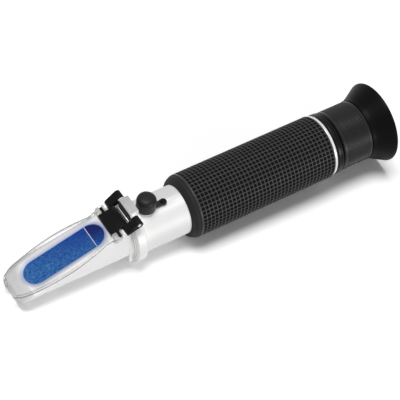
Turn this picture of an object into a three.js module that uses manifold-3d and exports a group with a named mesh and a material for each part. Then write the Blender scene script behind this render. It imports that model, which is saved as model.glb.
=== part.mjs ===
// Handheld refractometer, in millimetres, +Z up.
// The optical axis runs along X: the sample end is at -X and the eyecup at +X. The hinge of the
// daylight plate and the calibration cap are on top. Every piece is drawn with x = 0 at the front
// tip of the daylight plate and z = 0 on the optical axis, and the whole instrument is then moved
// so that the middle of its length, width and height is the origin.
import * as THREE from "three";
import { mergeVertices } from "three/addons/utils/BufferGeometryUtils.js";
import Module from "manifold-3d";

const wasm = await Module();
wasm.setup();

// Lengths along the axis, from the front tip to the eyecup's rim
const noseLength = 2.2;
const headLength = 55.1;
const flangeLength = 8.5;
const barrelShown = 24.8;
const gripLength = 81;
const trimWidth = 1.1;
const collarLength = 4.1;
const focusGap = 0.4;
const focusLength = 16.6;
const cupLength = 11.4;

// Clearances
const fitGap = 0.1;
const runGap = 0.3;
const slipGap = 0.15;
const overrun = 1;

// Barrel, whose radius carries the sizes of all that is fitted on it and in it
const barrelRadius = 12.4;
const barrelWall = 2.2;
const barrelBore = barrelRadius - barrelWall;
const gripSeatRise = 1.1;
const gripSeatRadius = barrelRadius + gripSeatRise;
const gripSeatStep = 4;
const seatScrewRadius = 1;
const seatScrewLength = 2.8;

// Prism seat: a half-round trough with a slanted top, and the flange that joins it to the barrel
const troughInset = 1.9;
const troughRadius = barrelRadius - troughInset;
const troughTopShare = 0.8;
const faceRise = 1.7;
const faceTop = barrelRadius + faceRise;
const faceNoseShare = 0.3067;
const noseCutLength = 4.6;
const noseCutDrop = 2.4;
const noseRound = 2;
const flangeWall = 2.2;
const flangeRadius = barrelRadius + flangeWall;
const flangeStep = 1.1;
const flangeStepRadius = flangeRadius - flangeStep;
const flangeStepLength = 3.3;
const flangeFilletShares = [[0.27, 0.03], [0.6, 0.23], [0.87, 0.6], [0.95, 1]];
const flangeBevel = 0.6;
const shoulderSetback = 0.6;
const shoulderShare = 0.819;
const socketDepth = 6;

// Prism, its end block and its bed
const prismShare = 0.5714;
const prismHalfWidth = troughRadius * prismShare;
const prismDepth = troughRadius * prismShare;
const prismFront = 6.1;
const endBlockLength = 6.1;
const endBlockSetback = 8.7;
const endBlockLow = 6.7;
const bedThickness = 0.5;

// Hinge block on the flange, its pin and the detent wire before it
const blockFront = 2.3;
const blockLength = 4.8;
const blockRise = 9;
const blockTop = barrelRadius + blockRise;
const pinRadius = 0.9;
const pivotFromFlange = 4.4;
const pivotRise = 5.8;
const pivotHeight = barrelRadius + pivotRise;
const pinBossRadius = 2;
const wireRadius = 0.4;
const wireInset = 1;
const wireRise = 4.4;
const wireHeight = barrelRadius + wireRise;
const wireLegLength = 4;

// Hinge bracket of the cover
const plateOverhang = 0.6;
const plateHalfWidth = troughRadius + plateOverhang;
const armRadius = 2;
const armInset = 0.4;
const armWidth = 4.5;
const armOutside = plateHalfWidth - armInset;
const armInside = armOutside - armWidth;
const blockRoom = 1.3;
const blockHalfWidth = armInside - blockRoom;
const bracketLift = 0.3;
const bracketThickness = 1.7;
const bracketInset = 0.2;
const bracketHalfWidth = armInside - bracketInset;
const bracketLength = 8.4;
const bracketSlot = 0.8;
const armLength = 6;
const armTopAngle = THREE.MathUtils.degToRad(112);
const armBottomAngle = THREE.MathUtils.degToRad(-80);
const stubRadius = 0.75;
const stubBack = 3.2;

// Clear daylight plate
const plateThickness = 1;
const plateFrontShare = 0.56;
const plateOutlineShares = [[0.08, 0.75], [0.26, 0.92], [0.54, 1], [0.76, 0.93], [0.93, 0.8]];
const earInset = 0.9;
const earHalfWidth = plateHalfWidth - earInset;
const earRise = 0.5;
const earBack = 1.6;
const earRound = 1;
const earWall = 0.9;
const earDrop = 1.2;
const lipThickness = 1.7;
const lipDrop = 4.4;
const lipBulgeShare = 0.6;
const lipWidthShare = 0.12;
const stubReach = earHalfWidth - earWall - fitGap;

// Calibration screw with its bush, cap, strap and anchor
const screwFromFlange = 6;
const screwRadius = 1.45;
const screwRise = 1.9;
const screwSlotWidth = 0.6;
const screwSlotDepth = 0.9;
const bushRadius = 2.75;
const bushFlangeRadius = 3.3;
const bushFlange = 0.5;
const bushDepth = 2.8;
const bossRadius = 4;
const bossHeight = 0.7;
const capRadius = 4.8;
const capRise = 7.6;
const capTop = barrelRadius + capRise;
const capRound = 1.3;
const capBore = 3.8;
const capCavityRise = 3.3;
const strapWidth = 3;
const strapThickness = 1.15;
const strapSide = 1.1;
const strapHinge = 5.8;
const strapLoopLength = 3;
const strapLoopRadius = 1.8;
const anchorRadius = 0.85;
const anchorHeadRadius = 1.45;
const anchorHead = 0.7;

// Objective in its floating cell, with the spring below and the two-metal strips beside it
const cellRoom = 3.7;
const cellRadius = barrelBore - cellRoom;
const cellLength = 10;
const cellWall = 1.1;
const cellShoulder = 0.8;
const cellShoulderLength = 3;
const lensEdge = 1.8;
const objectiveCrown = 0.8;
const ringLength = 1.7;
const springRadius = 2;
const springWire = 0.3;
const springTurns = 2;
const stripThickness = 0.5;
const stripHeight = 5;
const stripLength = 26;
const carrierLength = 6;
const carrierWall = 2.1;
const stripScrewRadius = 0.7;
const stripScrewHead = 0.6;

// Baffles, and the reticle in its holder
const baffleThickness = 1.2;
const baffleDepth = 3.7;
const baffleCount = 2;
const baffleSpacing = 22;
const holderLength = 10;
const holderWall = 1.3;
const holderStep = 1;
const reticleThickness = 1.6;

// Eyepiece: sleeve, sliding lens cell, focus ring and eyecup
const focusTravel = 4;
const sleeveInside = 10;
const sleeveOutside = 11.4;
const sleeveWall = 1.55;
const eyeCellWall = 1;
const eyeCellShoulder = 1;
const eyeCellFlange = 1.6;
const fieldLensCrown = 1;
const eyeLensCrown = 1.4;
const spacerLength = 8.8;
const spacerWall = 1.1;
const keyRadius = 0.8;
const sealRadius = 0.4;
const focusWall = 2.8;
const focusRadius = barrelRadius + focusWall;
const focusBevel = 0.7;
const spigotLength = 3.9;
const spigotInset = 1.6;
const spigotRadius = focusRadius - spigotInset;
const spigotWall = 1.1;
const retainerLength = 1.5;
const retainerWall = 3.4;
const cupRadius = 20.5;
const cupNeckProud = 0.2;
const cupNeckRadius = focusRadius + cupNeckProud;
const cupRim = 1.6;
const cupFloor = 0.6;
const cupFloorDepth = 2.6;
const cupFlareShares = [[0.1, 0.02], [0.28, 0.16], [0.55, 0.47], [0.81, 0.81], [0.94, 0.97]];

// Grip, trim ring and collar
const gripWall = 3.7;
const gripRadius = barrelRadius + gripWall;
const gripLipInset = 0.9;
const gripLipRadius = gripRadius - gripLipInset;
const gripLipLength = 1.9;
const gripRound = 1.8;
const gripEndRound = 0.5;
const trimWall = 3.2;
const trimRadius = barrelRadius + trimWall;
const collarWall = 3.3;
const collarRadius = barrelRadius + collarWall;
const collarRound = 0.9;

// Facets on a full turn
const outerSides = 48;
const innerSides = 32;
const smallSides = 16;

// Stations along the axis
const xHead = noseLength;
const xFlange = xHead + headLength;
const xBarrel = xFlange + flangeLength;
const xGrip = xBarrel + barrelShown;
const xTrim = xGrip + gripLength;
const xCollar = xTrim + trimWidth;
const xFocus = xCollar + collarLength + focusGap;
const xCup = xFocus + focusLength;
const xRim = xCup + cupLength;
const xTube = xBarrel - socketDepth;
const xPrism = xHead + prismFront;
const xPocketBack = xFlange - endBlockSetback;
const xEndBlock = xPocketBack - endBlockLength;
const xPrismBack = xEndBlock - fitGap;
const xPivot = xFlange + pivotFromFlange;
const xScrew = xBarrel + screwFromFlange;
const xStub = xFlange - armLength + pivotFromFlange - stubBack + bracketLift;

// Height of the slanted face above the axis at station x
const faceAngle = Math.atan((faceTop + troughRadius * faceNoseShare) / headLength);

function faceHeight(x) {
  return faceTop + (x - xFlange) * Math.tan(faceAngle);
}

// Solids from closed geometries, and back
function toSolid(geometry) {
  const bare = geometry.clone();
  bare.deleteAttribute("normal");
  bare.deleteAttribute("uv");
  const merged = mergeVertices(bare);
  return new wasm.Manifold(new wasm.Mesh({
    numProp: 3,
    vertProperties: merged.attributes.position.array,
    triVerts: new Uint32Array(merged.index.array),
  }));
}

function toGeometry(solid) {
  const mesh = solid.getMesh();
  const geometry = new THREE.BufferGeometry();
  geometry.setAttribute("position", new THREE.BufferAttribute(mesh.vertProperties, mesh.numProp));
  geometry.setIndex(new THREE.BufferAttribute(mesh.triVerts, 1));
  const faceted = geometry.toNonIndexed();
  faceted.computeVertexNormals();
  return faceted;
}

// A profile of [along, radius] points, turned round an axis that runs along +Y
function turnedUpright(profile, sides) {
  const area = profile.reduce((sum, [a, r], i) => {
    const [nextA, nextR] = profile[(i + 1) % profile.length];
    return sum + r * nextA - nextR * a;
  }, 0);
  const ordered = area > 0 ? profile : [...profile].reverse();
  const points = ordered.map(([along, radius]) => new THREE.Vector2(radius, along));
  const closed = points.every((point) => point.x > 0);
  if (closed) points.push(points[0].clone());
  return new THREE.LatheGeometry(points, sides);
}

function turned(profile, sides = outerSides) {
  return toSolid(turnedUpright(profile, sides).rotateZ(-Math.PI / 2));
}

function turnedOnZ(profile, x, y = 0, sides = smallSides) {
  return toSolid(turnedUpright(profile, sides).rotateX(Math.PI / 2).translate(x, y, 0));
}

function turnedOnY(profile, x, z, sides = smallSides) {
  return toSolid(turnedUpright(profile, sides).translate(x, 0, z));
}

// A ring, or a disc where the bore is zero, from station a to station b
function ring(a, b, outer, bore = 0, sides = innerSides) {
  return turned([[a, bore], [a, outer], [b, outer], [b, bore]], sides);
}

// Outlines pushed along one axis: y and z along X, x and z along Y, x and y along Z
function extruded(shape, depth) {
  return new THREE.ExtrudeGeometry(shape, { depth, bevelEnabled: false, curveSegments: 12 });
}

function alongX(shape, from, to) {
  const geometry = extruded(shape, to - from);
  const basis = new THREE.Matrix4().makeBasis(
    new THREE.Vector3(0, 1, 0), new THREE.Vector3(0, 0, 1), new THREE.Vector3(1, 0, 0));
  return toSolid(geometry.applyMatrix4(basis).translate(from, 0, 0));
}

function alongY(shape, from, to) {
  const geometry = extruded(shape, to - from);
  return toSolid(geometry.rotateX(Math.PI / 2).translate(0, to, 0));
}

function alongZ(shape, from, to) {
  const geometry = extruded(shape, to - from);
  return toSolid(geometry.translate(0, 0, from));
}

function outline(points) {
  return new THREE.Shape(points.map(([a, b]) => new THREE.Vector2(a, b)));
}

function box(x0, x1, y0, y1, z0, z1) {
  return alongZ(outline([[x0, y0], [x1, y0], [x1, y1], [x0, y1]]), z0, z1);
}

// A straight-sided outline with a half-round end at the front, and at the back too if asked
function stadium(front, back, halfWidth, roundBack) {
  const shape = new THREE.Shape();
  shape.moveTo(front + halfWidth, halfWidth);
  shape.absarc(front + halfWidth, 0, halfWidth, Math.PI / 2, Math.PI * 3 / 2, false);
  if (roundBack) shape.absarc(back - halfWidth, 0, halfWidth, -Math.PI / 2, Math.PI / 2, false);
  else {
    shape.lineTo(back, -halfWidth);
    shape.lineTo(back, halfWidth);
  }
  return shape;
}

// A lens between two stations: its edge is a short cylinder and both faces bulge by the crown
function lens(from, edge, radius, crown) {
  const steps = 4;
  const bow = (radius * radius + crown * crown) / (2 * crown);
  const bulge = (r) => Math.sqrt(bow * bow - r * r) - (bow - crown);
  const radii = Array.from({ length: steps + 1 }, (_, i) => radius * i / steps);
  const front = radii.map((r) => [from - bulge(r), r]);
  const back = [...radii].reverse().map((r) => [from + edge + bulge(r), r]);
  return turned([...front, ...back], innerSides);
}

// Room between a lens's edge and a ring of the given bore that rests on its bulging face
function lensRoom(radius, crown, bore) {
  return crown * (1 - (bore / radius) ** 2) + fitGap;
}

const instrument = new THREE.Group();
instrument.position.set(-xRim / 2, 0, (cupRadius - blockTop) / 2);

function add(name, solid, material) {
  const mesh = new THREE.Mesh(toGeometry(solid), material.clone());
  mesh.name = name;
  instrument.add(mesh);
}

// Materials
const castMetal = new THREE.MeshStandardMaterial({ color: 0xe9e9ea, roughness: 0.32, metalness: 0.6 });
const steel = new THREE.MeshStandardMaterial({ color: 0xc4c6c8, roughness: 0.25, metalness: 1 });
const brass = new THREE.MeshStandardMaterial({ color: 0xb89a52, roughness: 0.35, metalness: 1 });
const blackPlastic = new THREE.MeshStandardMaterial({ color: 0x141414, roughness: 0.45, metalness: 0 });
const blackRubber = new THREE.MeshStandardMaterial({ color: 0x1b1b1b, roughness: 0.75, metalness: 0 });
const darkMetal = new THREE.MeshStandardMaterial({ color: 0x222224, roughness: 0.6, metalness: 0.4 });
const clearPlastic = new THREE.MeshStandardMaterial({
  color: 0xf2f5f7, roughness: 0.08, metalness: 0, transparent: true, opacity: 0.35,
});
const blueGlass = new THREE.MeshStandardMaterial({ color: 0x2a5aa6, roughness: 0.1, metalness: 0 });
const deepBlueGlass = new THREE.MeshStandardMaterial({ color: 0x132f6b, roughness: 0.15, metalness: 0 });
const clearGlass = new THREE.MeshStandardMaterial({
  color: 0xe8f0f4, roughness: 0.04, metalness: 0, transparent: true, opacity: 0.35,
});
const paleBed = new THREE.MeshStandardMaterial({ color: 0xd8d8d4, roughness: 0.8, metalness: 0 });

// Prism seat: trough, flange and hinge block in one casting
const pinBore = pinRadius + fitGap / 2;
const tubeSocket = barrelRadius + fitGap;
const pocketHalfWidth = prismHalfWidth + slipGap;
const pocketFloor = -prismDepth - bedThickness - fitGap;
const endBlockDepth = faceTop - endBlockLow;
const ledge = endBlockDepth - slipGap;
const xBlock = xFlange + blockFront;

function prismSeat() {
  const section = new THREE.Shape();
  section.moveTo(troughRadius * troughTopShare, faceTop);
  section.lineTo(-troughRadius * troughTopShare, faceTop);
  section.lineTo(-troughRadius, 0);
  section.absarc(0, 0, troughRadius, Math.PI, Math.PI * 2, false);
  const xNoseCut = xHead + noseCutLength;
  const noseHeight = faceHeight(xHead) - noseCutDrop;
  const above = outline([
    [xHead - overrun, noseHeight],
    [xHead, noseHeight],
    [xNoseCut, faceHeight(xNoseCut)],
    [xFlange + overrun, faceHeight(xFlange + overrun)],
    [xFlange + overrun, blockTop],
    [xHead - overrun, blockTop],
  ]);
  const plan = new THREE.Shape();
  plan.moveTo(xFlange + flangeBevel, troughRadius);
  plan.lineTo(xHead + noseRound, troughRadius);
  plan.absarc(xHead + noseRound, troughRadius - noseRound, noseRound, Math.PI / 2, Math.PI, false);
  plan.absarc(xHead + noseRound, noseRound - troughRadius, noseRound, Math.PI, Math.PI * 3 / 2, false);
  plan.lineTo(xFlange + flangeBevel, -troughRadius);
  const trough = alongX(section, xHead, xFlange + flangeBevel)
    .subtract(alongY(above, -troughRadius - overrun, troughRadius + overrun))
    .intersect(alongZ(plan, -troughRadius - overrun, blockTop));
  const rise = flangeStepRadius - troughRadius;
  const fillet = flangeFilletShares.map(([along, out]) =>
    [xFlange + flangeStepLength * along, troughRadius + rise * out]);
  const shoulder = box(xFlange + shoulderSetback, xFlange + flangeStepLength + flangeBevel,
    -troughRadius, troughRadius, -troughRadius * shoulderShare, 0);
  const flange = turned([
    [xFlange, 0],
    [xFlange, troughRadius],
    ...fillet,
    [xFlange + flangeStepLength, flangeStepRadius],
    [xFlange + flangeStepLength + flangeBevel / 2, flangeRadius],
    [xBarrel - flangeBevel, flangeRadius],
    [xBarrel, flangeRadius - flangeBevel],
    [xBarrel, 0],
  ]);
  const block = box(xBlock, xBlock + blockLength,
    -blockHalfWidth, blockHalfWidth, barrelRadius, blockTop);
  const bossEnd = armInside - slipGap;
  const pinBoss = turnedOnY([[-bossEnd, 0], [-bossEnd, pinBossRadius],
    [bossEnd, pinBossRadius], [bossEnd, 0]], xPivot, pivotHeight);
  const pocket = alongZ(stadium(xPrism - slipGap, xEndBlock, pocketHalfWidth, false), pocketFloor, blockTop);
  const endPocket = alongZ(stadium(xPrism, xPocketBack + slipGap, pocketHalfWidth, true), ledge, faceTop);
  const lightBore = ring(xPrismBack - overrun, xTube, cellRadius);
  const socket = ring(xTube - fitGap, xBarrel + overrun, tubeSocket, 0, outerSides);
  const pinHole = turnedOnY([[-armInside, 0], [-armInside, pinBore], [armInside, pinBore], [armInside, 0]],
    xPivot, pivotHeight);
  return trough.add(flange).add(shoulder).add(block).add(pinBoss)
    .subtract(pocket)
    .subtract(endPocket)
    .subtract(lightBore)
    .subtract(socket)
    .subtract(pinHole)
    .subtract(seatScrewHole());
}

const xSeatScrew = xBarrel - socketDepth / 2;
const seatScrewTip = -flangeRadius + fitGap + seatScrewLength;

function seatScrewHole() {
  const radius = seatScrewRadius + fitGap;
  const low = -flangeRadius - overrun;
  return turnedOnZ([[low, 0], [low, radius], [seatScrewTip + slipGap, radius], [seatScrewTip + slipGap, 0]],
    xSeatScrew);
}

add("prism_seat", prismSeat(), castMetal);

// The screw under the flange that holds the seat on the barrel
const seatScrewLow = -flangeRadius + fitGap;
add("seat_screw", turnedOnZ([[seatScrewLow, 0], [seatScrewLow, seatScrewRadius],
  [seatScrewTip, seatScrewRadius], [seatScrewTip, 0]], xSeatScrew), steel);

// Glass prism: a wedge with a slanted measuring face and an upright exit face
function wedge() {
  const side = outline([
    [xPrism - overrun, -prismDepth],
    [xPrismBack, -prismDepth],
    [xPrismBack, faceHeight(xPrismBack)],
    [xPrism - overrun, faceHeight(xPrism - overrun)],
  ]);
  const plan = stadium(xPrism, xPrismBack, prismHalfWidth, false);
  return alongY(side, -prismHalfWidth - overrun, prismHalfWidth + overrun)
    .intersect(alongZ(plan, -prismDepth - overrun, blockTop));
}

add("measuring_prism", wedge(), blueGlass);

// Blind block that fills the window behind the prism's exit edge
function endBlock() {
  const side = outline([
    [xEndBlock, endBlockDepth],
    [xPocketBack, endBlockDepth],
    [xPocketBack, faceHeight(xPocketBack)],
    [xEndBlock, faceHeight(xEndBlock)],
  ]);
  const plan = stadium(xPrism, xPocketBack, prismHalfWidth, true);
  return alongY(side, -prismHalfWidth - overrun, prismHalfWidth + overrun)
    .intersect(alongZ(plan, 0, blockTop));
}

add("prism_end_block", endBlock(), deepBlueGlass);

// Bed that the prism is cemented on
add("prism_bed", alongZ(stadium(xPrism, xPrismBack, prismHalfWidth, false),
  pocketFloor + fitGap / 2, -prismDepth - fitGap / 2), paleBed);

// Hinge pin
const pinHalfLength = armOutside + fitGap;
add("hinge_pin", turnedOnY([[-pinHalfLength, 0], [-pinHalfLength, pinRadius],
  [pinHalfLength, pinRadius], [pinHalfLength, 0]], xPivot, pivotHeight), steel);

// Detent wire: a steel staple that stands before the hinge block
function detentWire() {
  const xWire = xBlock - slipGap - wireRadius;
  const half = armInside - wireInset;
  const bar = turnedOnY([[-half, 0], [-half, wireRadius], [half, wireRadius], [half, 0]],
    xWire, wireHeight, smallSides / 2);
  const low = wireHeight - wireLegLength;
  const leg = (y) => turnedOnZ([[low, 0], [low, wireRadius], [wireHeight, wireRadius], [wireHeight, 0]],
    xWire, y, smallSides / 2);
  const inset = half - wireRadius;
  return bar.add(leg(-inset)).add(leg(inset));
}

add("detent_wire", detentWire(), steel);

// Hinge bracket: a plate on the slanted face, two arms round the pin and two stubs for the cover
const bracketLow = bracketLift / Math.cos(faceAngle);
const bracketHigh = (bracketLift + bracketThickness) / Math.cos(faceAngle);
const xArm = xPivot - armLength;
const xBracketBack = xBlock - slipGap - wireRadius * 2 - bracketSlot + bracketLift;
const xBracket = xBracketBack - bracketLength;
const stubHeight = faceHeight(xStub) + (bracketLow + bracketHigh) / 2;

function hingeBracket() {
  const slab = (from, to) => outline([
    [from, faceHeight(from) + bracketLow],
    [to, faceHeight(to) + bracketLow],
    [to, faceHeight(to) + bracketHigh],
    [from, faceHeight(from) + bracketHigh],
  ]);
  const plate = alongY(slab(xBracket, xBracketBack), -bracketHalfWidth, bracketHalfWidth);
  const web = alongY(slab(xArm, xBracketBack), -armOutside, armOutside);
  const arm = new THREE.Shape();
  arm.moveTo(xArm, faceHeight(xArm) + bracketLow);
  arm.lineTo(xArm, faceHeight(xArm) + bracketHigh);
  arm.absarc(xPivot, pivotHeight, armRadius, armTopAngle, armBottomAngle, true);
  const bore = pinRadius + slipGap;
  const stub = turnedOnY([[-stubReach, 0], [-stubReach, stubRadius], [stubReach, stubRadius], [stubReach, 0]],
    xStub, stubHeight);
  const pinHole = turnedOnY([[-armOutside - overrun, 0], [-armOutside - overrun, bore],
    [armOutside + overrun, bore], [armOutside + overrun, 0]], xPivot, pivotHeight);
  return plate.add(web).add(stub)
    .add(alongY(arm, armInside, armOutside))
    .add(alongY(arm, -armOutside, -armInside))
    .subtract(pinHole);
}

add("hinge_bracket", hingeBracket(), blackPlastic);

// Daylight plate: a clear lens-shaped cover with two ears at the back and a lip at the front
const plateLow = bracketLift / Math.cos(faceAngle);
const plateHigh = (bracketLift + plateThickness) / Math.cos(faceAngle);
const earHigh = plateHigh + earRise / Math.cos(faceAngle);
const xEarBack = xStub + earBack;
const xNotch = xBracket - runGap;

function plateOutline() {
  const half = plateOutlineShares.map(([along, width]) => [xNotch * along, plateHalfWidth * width]);
  const frontHalf = plateHalfWidth * plateFrontShare;
  const earInside = bracketHalfWidth + runGap;
  const shape = new THREE.Shape();
  const at = (x, y) => new THREE.Vector2(x, y);
  shape.moveTo(0, -frontHalf);
  shape.splineThru(half.map(([x, y]) => at(x, -y)));
  shape.lineTo(xNotch, -earHalfWidth + earRound);
  shape.lineTo(xNotch + earRound, -earHalfWidth);
  shape.lineTo(xEarBack - earRound, -earHalfWidth);
  shape.lineTo(xEarBack, -earHalfWidth + earRound);
  shape.lineTo(xEarBack, -earInside);
  shape.lineTo(xNotch, -earInside);
  shape.lineTo(xNotch, earInside);
  shape.lineTo(xEarBack, earInside);
  shape.lineTo(xEarBack, earHalfWidth - earRound);
  shape.lineTo(xEarBack - earRound, earHalfWidth);
  shape.lineTo(xNotch + earRound, earHalfWidth);
  shape.lineTo(xNotch, earHalfWidth - earRound);
  shape.splineThru([...half].reverse().map(([x, y]) => at(x, y)));
  shape.lineTo(0, frontHalf);
  return shape;
}

function daylightPlate() {
  const slab = (from, to, low, high) => alongY(outline([
    [from, faceHeight(from) + low],
    [to, faceHeight(to) + low],
    [to, faceHeight(to) + high],
    [from, faceHeight(from) + high],
  ]), -plateHalfWidth - overrun, plateHalfWidth + overrun);
  const plan = alongZ(plateOutline(), faceHeight(0) - overrun, blockTop);
  const sheet = slab(-overrun, xEarBack + overrun, plateLow, plateHigh)
    .add(slab(xNotch - earBack, xEarBack + overrun, plateLow, earHigh))
    .add(slab(xNotch, xEarBack + overrun, -earDrop, earHigh)
      .subtract(box(xNotch - overrun, xEarBack + overrun * 2, earWall - earHalfWidth, earHalfWidth - earWall,
        0, blockTop)));
  const topHalf = plateHalfWidth * plateFrontShare;
  const bulgeHalf = topHalf * lipBulgeShare;
  const lowHalf = topHalf * lipWidthShare;
  const lipTop = faceHeight(0) + plateLow + plateThickness / 2;
  const lipLow = faceHeight(0) - lipDrop;
  const lip = new THREE.Shape();
  lip.moveTo(-topHalf, lipTop);
  lip.quadraticCurveTo(-bulgeHalf, lipLow, -lowHalf, lipLow);
  lip.lineTo(lowHalf, lipLow);
  lip.quadraticCurveTo(bulgeHalf, lipLow, topHalf, lipTop);
  const bore = stubRadius + slipGap;
  const stubHole = turnedOnY([[-earHalfWidth - overrun, 0], [-earHalfWidth - overrun, bore],
    [earHalfWidth + overrun, bore], [earHalfWidth + overrun, 0]], xStub, stubHeight);
  const slotEnd = stubReach + slipGap;
  const slot = box(xStub - bore, xStub + bore, -slotEnd, slotEnd, stubHeight, blockTop);
  return sheet.intersect(plan).add(alongX(lip, 0, lipThickness)).subtract(stubHole).subtract(slot);
}

add("daylight_plate", daylightPlate(), clearPlastic);

// Barrel tube: plain in front, wider under the grip, necked behind it for the trim ring and collar
const tubeFloor = -barrelBore;
const xGripSeat = xGrip + gripSeatStep;
const xNeckEnd = xFocus - focusGap - fitGap * 2;
const anchorX = xScrew + strapHinge + strapLoopLength;
const bossTop = barrelRadius + bossHeight;

function barrelTube() {
  const tube = turned([
    [xTube, barrelBore],
    [xNeckEnd, barrelBore],
    [xNeckEnd, barrelRadius],
    [xTrim - fitGap, barrelRadius],
    [xTrim - fitGap, gripSeatRadius],
    [xGripSeat, gripSeatRadius],
    [xGripSeat, barrelRadius],
    [xTube, barrelRadius],
  ]);
  const hole = (radius, x, y) => turnedOnZ([[0, 0], [0, radius], [barrelRadius + overrun, radius],
    [barrelRadius + overrun, 0]], x, y, innerSides);
  const bossLow = (barrelBore + barrelRadius) / 2;
  const boss = turnedOnZ([[bossLow, 0], [bossLow, bossRadius], [bossTop, bossRadius], [bossTop, 0]],
    xScrew, 0, innerSides);
  return tube
    .add(boss)
    .subtract(hole(bushRadius + fitGap, xScrew, 0))
    .subtract(hole(anchorRadius + fitGap, anchorX, -strapSide))
    .subtract(seatScrewHole());
}

add("barrel_tube", barrelTube(), castMetal);

// Calibration screw in its brass bush
const bushHigh = bossTop + slipGap + bushFlange;
const bushBore = screwRadius + slipGap;
add("screw_bush", turnedOnZ([
  [barrelRadius - bushDepth, bushBore],
  [barrelRadius - bushDepth, bushRadius],
  [bossTop + slipGap, bushRadius],
  [bossTop + slipGap, bushFlangeRadius],
  [bushHigh, bushFlangeRadius],
  [bushHigh, bushBore],
], xScrew, 0, innerSides), brass);

const screwTip = cellRadius + runGap;
const screwTop = barrelRadius + screwRise;
const screwSlot = box(xScrew - screwRadius - overrun, xScrew + screwRadius + overrun,
  -screwSlotWidth / 2, screwSlotWidth / 2, screwTop - screwSlotDepth, screwTop + overrun);
add("calibration_screw", turnedOnZ([[screwTip, 0], [screwTip, screwRadius],
  [screwTop, screwRadius], [screwTop, 0]], xScrew, 0, smallSides).subtract(screwSlot), steel);

// Rubber cap over the screw, with the first stretch of its strap
const strapLow = barrelRadius + runGap;
const strapHigh = strapLow + strapThickness;
const xStrapHinge = xScrew + strapHinge;

function calibrationCap() {
  const steps = 3;
  const rounded = Array.from({ length: steps + 1 }, (_, i) => {
    const turn = Math.PI / 2 * i / steps;
    return [capTop - capRound + capRound * Math.sin(turn), capRadius - capRound + capRound * Math.cos(turn)];
  });
  const low = bossTop + slipGap;
  const dome = turnedOnZ([[low, 0], [low, capRadius], ...rounded, [capTop, 0]], xScrew, 0, innerSides);
  const cavityTop = barrelRadius + capCavityRise;
  const cavity = turnedOnZ([[0, 0], [0, capBore], [cavityTop, capBore], [cavityTop, 0]],
    xScrew, 0, innerSides);
  const strap = box(xScrew + bossRadius + runGap, xStrapHinge - runGap,
    -strapSide - strapWidth / 2, -strapSide + strapWidth / 2, strapLow, strapHigh);
  return dome.add(strap).subtract(cavity);
}

add("calibration_cap", calibrationCap(), blackRubber);

// The strap's looped end, and the rivet that anchors it to the barrel
function strapLoop() {
  const shape = new THREE.Shape();
  const near = -strapSide - strapWidth / 2;
  const far = -strapSide + strapWidth / 2;
  shape.moveTo(xStrapHinge + runGap, far);
  shape.lineTo(xStrapHinge + runGap, near);
  shape.lineTo(anchorX, near);
  shape.absarc(anchorX, -strapSide, strapLoopRadius, -Math.PI / 2, Math.PI / 2, false);
  shape.lineTo(anchorX, far);
  const bore = anchorRadius + slipGap;
  const hole = turnedOnZ([[0, 0], [0, bore], [blockTop, bore], [blockTop, 0]], anchorX, -strapSide);
  return alongZ(shape, strapLow, strapHigh).subtract(hole);
}

add("cap_strap", strapLoop(), blackRubber);
add("strap_anchor", turnedOnZ([
  [barrelBore + runGap, 0],
  [barrelBore + runGap, anchorRadius],
  [strapHigh + slipGap, anchorRadius],
  [strapHigh + slipGap, anchorHeadRadius],
  [strapHigh + slipGap + anchorHead, anchorHeadRadius - slipGap * 2],
  [strapHigh + slipGap + anchorHead, 0],
], anchorX, -strapSide), blackPlastic);

// Objective lens in a cell that the calibration screw presses down against a spring
const xCell = xScrew - cellLength / 2;
const cellBore = cellRadius - cellWall;
const xShoulder = xCell + cellLength - cellShoulderLength;
add("objective_cell", turned([
  [xCell, cellBore],
  [xShoulder, cellBore],
  [xShoulder, cellBore - cellShoulder],
  [xCell + cellLength, cellBore - cellShoulder],
  [xCell + cellLength, cellRadius],
  [xCell, cellRadius],
], innerSides), darkMetal);
const objectiveRadius = cellBore - fitGap;
const objectiveRoom = lensRoom(objectiveRadius, objectiveCrown, cellBore - cellShoulder);
const xObjective = xShoulder - lensEdge - objectiveRoom;
add("objective_lens", lens(xObjective, lensEdge, objectiveRadius, objectiveCrown), clearGlass);
add("objective_ring", ring(xObjective - objectiveRoom - ringLength, xObjective - objectiveRoom,
  objectiveRadius, cellBore - cellShoulder), darkMetal);

// Return spring, one unbroken coil between the barrel's wall and the cell
function returnSpring() {
  const low = tubeFloor + runGap * 2 + springWire;
  const high = -cellRadius - runGap - springWire;
  const stepsPerTurn = 8;
  const sides = 5;
  const steps = Math.round(springTurns * stepsPerTurn);
  const centre = (i) => {
    const turn = Math.PI * 2 * i / stepsPerTurn;
    return new THREE.Vector3(xScrew + springRadius * Math.cos(turn), springRadius * Math.sin(turn),
      low + (high - low) * i / steps);
  };
  const positions = [];
  for (let i = 0; i <= steps; i++) {
    const turn = Math.PI * 2 * i / stepsPerTurn;
    for (let s = 0; s < sides; s++) {
      const round = Math.PI * 2 * s / sides;
      const out = springWire * Math.cos(round);
      const point = centre(i);
      positions.push(point.x + out * Math.cos(turn), point.y + out * Math.sin(turn),
        point.z + springWire * Math.sin(round));
    }
  }
  const indices = [];
  for (let i = 0; i < steps; i++) {
    for (let s = 0; s < sides; s++) {
      const a = i * sides + s;
      const b = i * sides + (s + 1) % sides;
      indices.push(a, b + sides, b, a, a + sides, b + sides);
    }
  }
  const last = steps * sides;
  for (let s = 1; s < sides - 1; s++) {
    indices.push(0, s, s + 1);
    indices.push(last, last + s + 1, last + s);
  }
  const geometry = new THREE.BufferGeometry();
  geometry.setAttribute("position", new THREE.Float32BufferAttribute(positions, 3));
  geometry.setIndex(indices);
  const coil = toSolid(geometry);
  console.log("return spring: gap between turns",
    ((high - low) / springTurns - springWire * 2).toFixed(2), "mm");
  return coil;
}

add("return_spring", returnSpring(), steel);

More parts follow.
